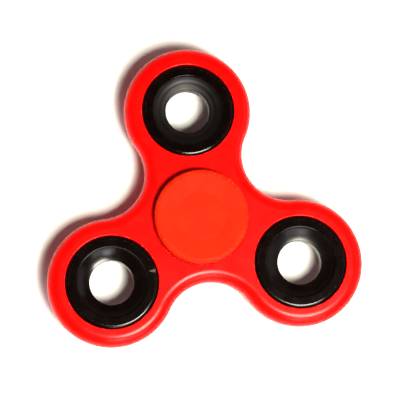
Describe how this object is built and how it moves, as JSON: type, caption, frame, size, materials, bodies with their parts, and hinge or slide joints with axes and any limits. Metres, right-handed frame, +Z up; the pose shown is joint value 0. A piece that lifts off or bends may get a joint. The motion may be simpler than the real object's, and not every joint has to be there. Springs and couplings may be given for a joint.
{
  "type": "fidget spinner",
  "caption": "Three-lobed hand spinner with ring weights in its lobes and a capped ball bearing in the middle; it is held by the caps and spins freely.",
  "frame": {"origin": "centre of the bottom cap's flat face, on the spin axis; the spinner rests on this face", "axes": "+Z up along the spin axis, out of the top cap; +Y towards one lobe; +X completes the right-handed frame"},
  "size_m": [0.075, 0.069, 0.0142],
  "materials": {
    "body_plastic": "moulded, glossy, bright red",
    "cap_plastic": "moulded, matte, orange-red",
    "weight_paint": "turned steel, gloss black",
    "ring_steel": "ground bearing steel",
    "ball_steel": "polished bearing steel",
    "cage_steel": "pressed steel sheet",
    "shield_steel": "pressed steel sheet, satin",
    "spring_steel": "spring steel"
  },
  "bodies": {
    "hub": {"top_cap": "cap_plastic", "bottom_cap": "cap_plastic", "bearing_inner_ring": "ring_steel"},
    "spinner": {"tri_lobe_body": "body_plastic", "lobe_weight_1": "weight_paint", "lobe_weight_2": "weight_paint", "lobe_weight_3": "weight_paint", "bearing_outer_ring": "ring_steel", "bearing_shield_top": "shield_steel", "bearing_shield_bottom": "shield_steel", "snap_ring_top": "spring_steel", "snap_ring_bottom": "spring_steel"},
    "cage": {"cage_upper_half": "cage_steel", "cage_lower_half": "cage_steel", "cage_rivet_1": "cage_steel", "cage_rivet_2": "cage_steel", "cage_rivet_3": "cage_steel", "cage_rivet_4": "cage_steel", "cage_rivet_5": "cage_steel", "cage_rivet_6": "cage_steel", "cage_rivet_7": "cage_steel"},
    "ball_1": {"bearing_ball_1": "ball_steel"},
    "ball_2": {"bearing_ball_2": "ball_steel"},
    "ball_3": {"bearing_ball_3": "ball_steel"},
    "ball_4": {"bearing_ball_4": "ball_steel"},
    "ball_5": {"bearing_ball_5": "ball_steel"},
    "ball_6": {"bearing_ball_6": "ball_steel"},
    "ball_7": {"bearing_ball_7": "ball_steel"}
  },
  "joints": [
    {"name": "spin", "type": "hinge", "parent": "hub", "child": "spinner", "pos_m": [0, 0, 0.0071], "axis": [0, 0, 1], "continuous": true},
    {"name": "cage_orbit", "type": "hinge", "parent": "hub", "child": "cage", "pos_m": [0, 0, 0.0071], "axis": [0, 0, 1], "continuous": true},
    {"name": "ball_1_roll", "type": "hinge", "parent": "cage", "child": "ball_1", "pos_m": [0, 0.0075, 0.0071], "axis": [0, 0, 1], "continuous": true},
    {"name": "ball_2_roll", "type": "hinge", "parent": "cage", "child": "ball_2", "pos_m": [-0.00586, 0.00468, 0.0071], "axis": [0, 0, 1], "continuous": true},
    {"name": "ball_3_roll", "type": "hinge", "parent": "cage", "child": "ball_3", "pos_m": [-0.00731, -0.00167, 0.0071], "axis": [0, 0, 1], "continuous": true},
    {"name": "ball_4_roll", "type": "hinge", "parent": "cage", "child": "ball_4", "pos_m": [-0.00325, -0.00676, 0.0071], "axis": [0, 0, 1], "continuous": true},
    {"name": "ball_5_roll", "type": "hinge", "parent": "cage", "child": "ball_5", "pos_m": [0.00325, -0.00676, 0.0071], "axis": [0, 0, 1], "continuous": true},
    {"name": "ball_6_roll", "type": "hinge", "parent": "cage", "child": "ball_6", "pos_m": [0.00731, -0.00167, 0.0071], "axis": [0, 0, 1], "continuous": true},
    {"name": "ball_7_roll", "type": "hinge", "parent": "cage", "child": "ball_7", "pos_m": [0.00586, 0.00468, 0.0071], "axis": [0, 0, 1], "continuous": true}
  ],
  "couplings": [
    {"joint": "cage_orbit", "follows": "spin", "ratio": 0.6323},
    {"joint": "ball_1_roll", "follows": "spin", "ratio": 1.7573},
    {"joint": "ball_2_roll", "follows": "spin", "ratio": 1.7573},
    {"joint": "ball_3_roll", "follows": "spin", "ratio": 1.7573},
    {"joint": "ball_4_roll", "follows": "spin", "ratio": 1.7573},
    {"joint": "ball_5_roll", "follows": "spin", "ratio": 1.7573},
    {"joint": "ball_6_roll", "follows": "spin", "ratio": 1.7573},
    {"joint": "ball_7_roll", "follows": "spin", "ratio": 1.7573}
  ]
}
